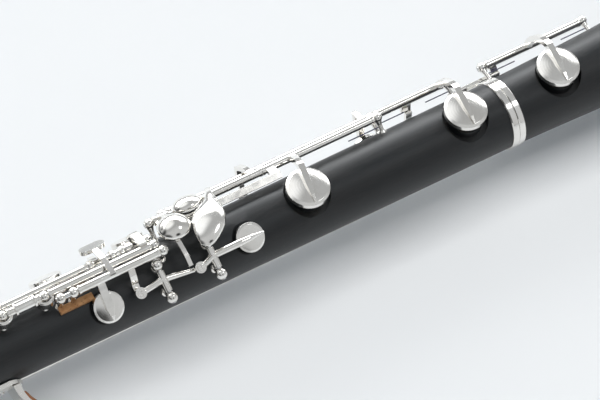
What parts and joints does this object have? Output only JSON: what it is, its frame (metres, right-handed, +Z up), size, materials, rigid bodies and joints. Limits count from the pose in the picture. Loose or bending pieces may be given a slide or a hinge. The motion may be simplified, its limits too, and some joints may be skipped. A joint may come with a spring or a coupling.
{
  "type": "oboe",
  "caption": "Wooden oboe in three jointed sections with plated keywork: finger plates, domed key cups on long hinge rods, cross levers and a thumb rest.",
  "frame": {"origin": "centre of the reed socket's mouth, at the top end", "axes": "+X along the bore towards the bell, +Z up as the instrument lies on its left side with its finger plates turned up and away"},
  "size_m": [0.6, 0.057, 0.057],
  "materials": {
    "grenadilla": "oiled and polished blackwood, fine pores",
    "silver_plate": "polished silver plate",
    "rod_steel": "ground steel",
    "spring_steel": "blued steel",
    "cork": "greased cork",
    "leather": "matt leather",
    "pad_skin": "smooth skin over felt"
  },
  "bodies": {
    "body": {"upper_joint": "grenadilla", "lower_joint": "grenadilla", "bell": "grenadilla", "top_ring": "silver_plate", "middle_ring": "silver_plate", "lower_ring": "silver_plate", "bell_ring": "silver_plate", "middle_cork": "cork", "bell_cork": "cork", "upper_posts": "silver_plate", "lower_posts": "silver_plate", "bell_posts": "silver_plate", "upper_rods": "rod_steel", "lower_rods": "rod_steel", "bell_rod": "rod_steel", "springs": "spring_steel", "thumb_rest": "silver_plate", "thumb_cushion": "leather"},
    "f_sharp": {"f_sharp_key": "silver_plate", "f_sharp_pad": "pad_skin"},
    "e": {"e_key": "silver_plate", "e_pad": "pad_skin"},
    "d": {"d_key": "silver_plate", "d_pad": "pad_skin"},
    "f": {"f_key": "silver_plate", "f_pad": "pad_skin"},
    "f_lever_one": {"f_lever_one": "silver_plate"},
    "f_resonance": {"f_lever_two": "silver_plate", "f_res_pad": "pad_skin"},
    "e_flat": {"e_flat_key": "silver_plate", "e_flat_touch": "silver_plate", "e_flat_pad": "pad_skin"},
    "c_sharp": {"c_sharp_key": "silver_plate", "c_sharp_touch": "silver_plate", "c_sharp_pad": "pad_skin"},
    "c": {"c_key": "silver_plate", "c_pad": "pad_skin"},
    "c_lever": {"c_lever": "silver_plate"},
    "b": {"b_key": "silver_plate", "b_pad": "pad_skin"},
    "b_lever": {"b_lever": "silver_plate"},
    "b_flat_lever": {"b_flat_lever": "silver_plate"},
    "bell_key": {"bell_key": "silver_plate", "bell_pad": "pad_skin"},
    "half_hole": {"half_hole_key": "silver_plate", "half_hole_pad": "pad_skin"},
    "a": {"a_key": "silver_plate", "a_pad": "pad_skin"},
    "g": {"g_key": "silver_plate", "g_pad": "pad_skin"},
    "g_sharp": {"g_sharp_key": "silver_plate", "g_sharp_pad": "pad_skin"},
    "trill": {"trill_key": "silver_plate", "trill_pad": "pad_skin"},
    "second_trill": {"second_trill_key": "silver_plate", "second_trill_pad": "pad_skin"},
    "thumb_octave": {"thumb_octave_key": "silver_plate", "thumb_octave_pad": "pad_skin"},
    "side_octave": {"side_octave_key": "silver_plate", "side_octave_pad": "pad_skin"}
  },
  "joints": [
    {"name": "f_sharp_turn", "type": "hinge", "parent": "body", "child": "f_sharp", "pos_m": [0.2545, 0.00513, 0.01579], "axis": [1, 0, 0], "range_deg": [-9, 0], "stiffness_Nm_per_rad": 0.02, "springref_deg": 11.46},
    {"name": "e_turn", "type": "hinge", "parent": "body", "child": "e", "pos_m": [0.2885, 0.00513, 0.01579], "axis": [1, 0, 0], "range_deg": [-9, 0], "stiffness_Nm_per_rad": 0.02, "springref_deg": 11.46},
    {"name": "d_turn", "type": "hinge", "parent": "body", "child": "d", "pos_m": [0.3225, -0.00032, 0.0186], "axis": [1, 0, 0], "range_deg": [-6.3, 0], "stiffness_Nm_per_rad": 0.02, "springref_deg": 11.46},
    {"name": "f_turn", "type": "hinge", "parent": "body", "child": "f", "pos_m": [0.2976, -0.00432, 0.01871], "axis": [1, 0, 0], "range_deg": [-5.5, 0], "stiffness_Nm_per_rad": 0.02, "springref_deg": 11.46},
    {"name": "f_lever_one_turn", "type": "hinge", "parent": "body", "child": "f_lever_one", "pos_m": [0.324, -0.01074, 0.01172], "axis": [0, 0.809, 0.5878], "range_deg": [0, 5.5]},
    {"name": "f_resonance_turn", "type": "hinge", "parent": "body", "child": "f_resonance", "pos_m": [0.3446, -0.01074, 0.01172], "axis": [0, 0.809, 0.5878], "range_deg": [-9.62, 0]},
    {"name": "e_flat_turn", "type": "hinge", "parent": "body", "child": "e_flat", "pos_m": [0.3725, 0.01258, 0.01397], "axis": [1, 0, 0], "range_deg": [0, 7], "stiffness_Nm_per_rad": 0.02, "springref_deg": -11.46},
    {"name": "c_sharp_turn", "type": "hinge", "parent": "body", "child": "c_sharp", "pos_m": [0.389, 0.01258, 0.01397], "axis": [1, 0, 0], "range_deg": [0, 6.5], "stiffness_Nm_per_rad": 0.02, "springref_deg": -11.46},
    {"name": "c_turn", "type": "hinge", "parent": "body", "child": "c", "pos_m": [0.4275, 0.01818, 0.00809], "axis": [1, 0, 0], "range_deg": [-6.5, 0]},
    {"name": "c_lever_turn", "type": "hinge", "parent": "body", "child": "c_lever", "pos_m": [0.345, 0.01258, 0.01397], "axis": [1, 0, 0], "range_deg": [0, 6], "stiffness_Nm_per_rad": 0.02, "springref_deg": -11.46},
    {"name": "b_turn", "type": "hinge", "parent": "body", "child": "b", "pos_m": [0.458, 0.01818, 0.00809], "axis": [1, 0, 0], "range_deg": [0, 6.5], "stiffness_Nm_per_rad": 0.02, "springref_deg": -11.46},
    {"name": "b_lever_turn", "type": "hinge", "parent": "body", "child": "b_lever", "pos_m": [0.25, 0.00294, -0.01664], "axis": [1, 0, 0], "range_deg": [0, 4]},
    {"name": "b_flat_lever_turn", "type": "hinge", "parent": "body", "child": "b_flat_lever", "pos_m": [0.266, -0.00235, -0.01674], "axis": [1, 0, 0], "range_deg": [0, 3]},
    {"name": "bell_key_turn", "type": "hinge", "parent": "body", "child": "bell_key", "pos_m": [0.4987, 0.01979, 0.00494], "axis": [1, 0, 0], "range_deg": [0, 5.5], "stiffness_Nm_per_rad": 0.02, "springref_deg": -11.46},
    {"name": "half_hole_turn", "type": "hinge", "parent": "body", "child": "half_hole", "pos_m": [0.086, 0.0032, 0.01506], "axis": [1, 0, 0], "range_deg": [-9, 0], "stiffness_Nm_per_rad": 0.02, "springref_deg": 11.46},
    {"name": "a_turn", "type": "hinge", "parent": "body", "child": "a", "pos_m": [0.12, 0.0032, 0.01506], "axis": [1, 0, 0], "range_deg": [-9, 0], "stiffness_Nm_per_rad": 0.02, "springref_deg": 11.46},
    {"name": "g_turn", "type": "hinge", "parent": "body", "child": "g", "pos_m": [0.156, 0.0032, 0.01506], "axis": [1, 0, 0], "range_deg": [-9, 0], "stiffness_Nm_per_rad": 0.02, "springref_deg": 11.46},
    {"name": "g_sharp_turn", "type": "hinge", "parent": "body", "child": "g_sharp", "pos_m": [0.184, 0.01506, -0.0032], "axis": [1, 0, 0], "range_deg": [-8, 0], "stiffness_Nm_per_rad": 0.02, "springref_deg": 11.46},
    {"name": "trill_turn", "type": "hinge", "parent": "body", "child": "trill", "pos_m": [0.058, -0.00271, 0.01536], "axis": [1, 0, 0], "range_deg": [0, 8], "stiffness_Nm_per_rad": 0.02, "springref_deg": -11.46},
    {"name": "second_trill_turn", "type": "hinge", "parent": "body", "child": "second_trill", "pos_m": [0.044, -0.00732, 0.01377], "axis": [1, 0, 0], "range_deg": [0, 8], "stiffness_Nm_per_rad": 0.02, "springref_deg": -11.46},
    {"name": "thumb_octave_turn", "type": "hinge", "parent": "body", "child": "thumb_octave", "pos_m": [0.062, -0.00537, -0.01206], "axis": [1, 0, 0], "range_deg": [-8, 0], "stiffness_Nm_per_rad": 0.02, "springref_deg": 11.46},
    {"name": "side_octave_turn", "type": "hinge", "parent": "body", "child": "side_octave", "pos_m": [0.034, 0.01161, -0.0067], "axis": [1, 0, 0], "range_deg": [-8, 0], "stiffness_Nm_per_rad": 0.02, "springref_deg": 11.46}
  ],
  "couplings": [
    {"joint": "f_lever_one_turn", "follows": "f_turn", "ratio": -1},
    {"joint": "f_resonance_turn", "follows": "f_turn", "ratio": 1.75},
    {"joint": "c_turn", "follows": "c_lever_turn", "ratio": -1.0833},
    {"joint": "b_lever_turn", "follows": "b_turn", "ratio": 0.61538},
    {"joint": "b_flat_lever_turn", "follows": "bell_key_turn", "ratio": 0.54546}
  ]
}
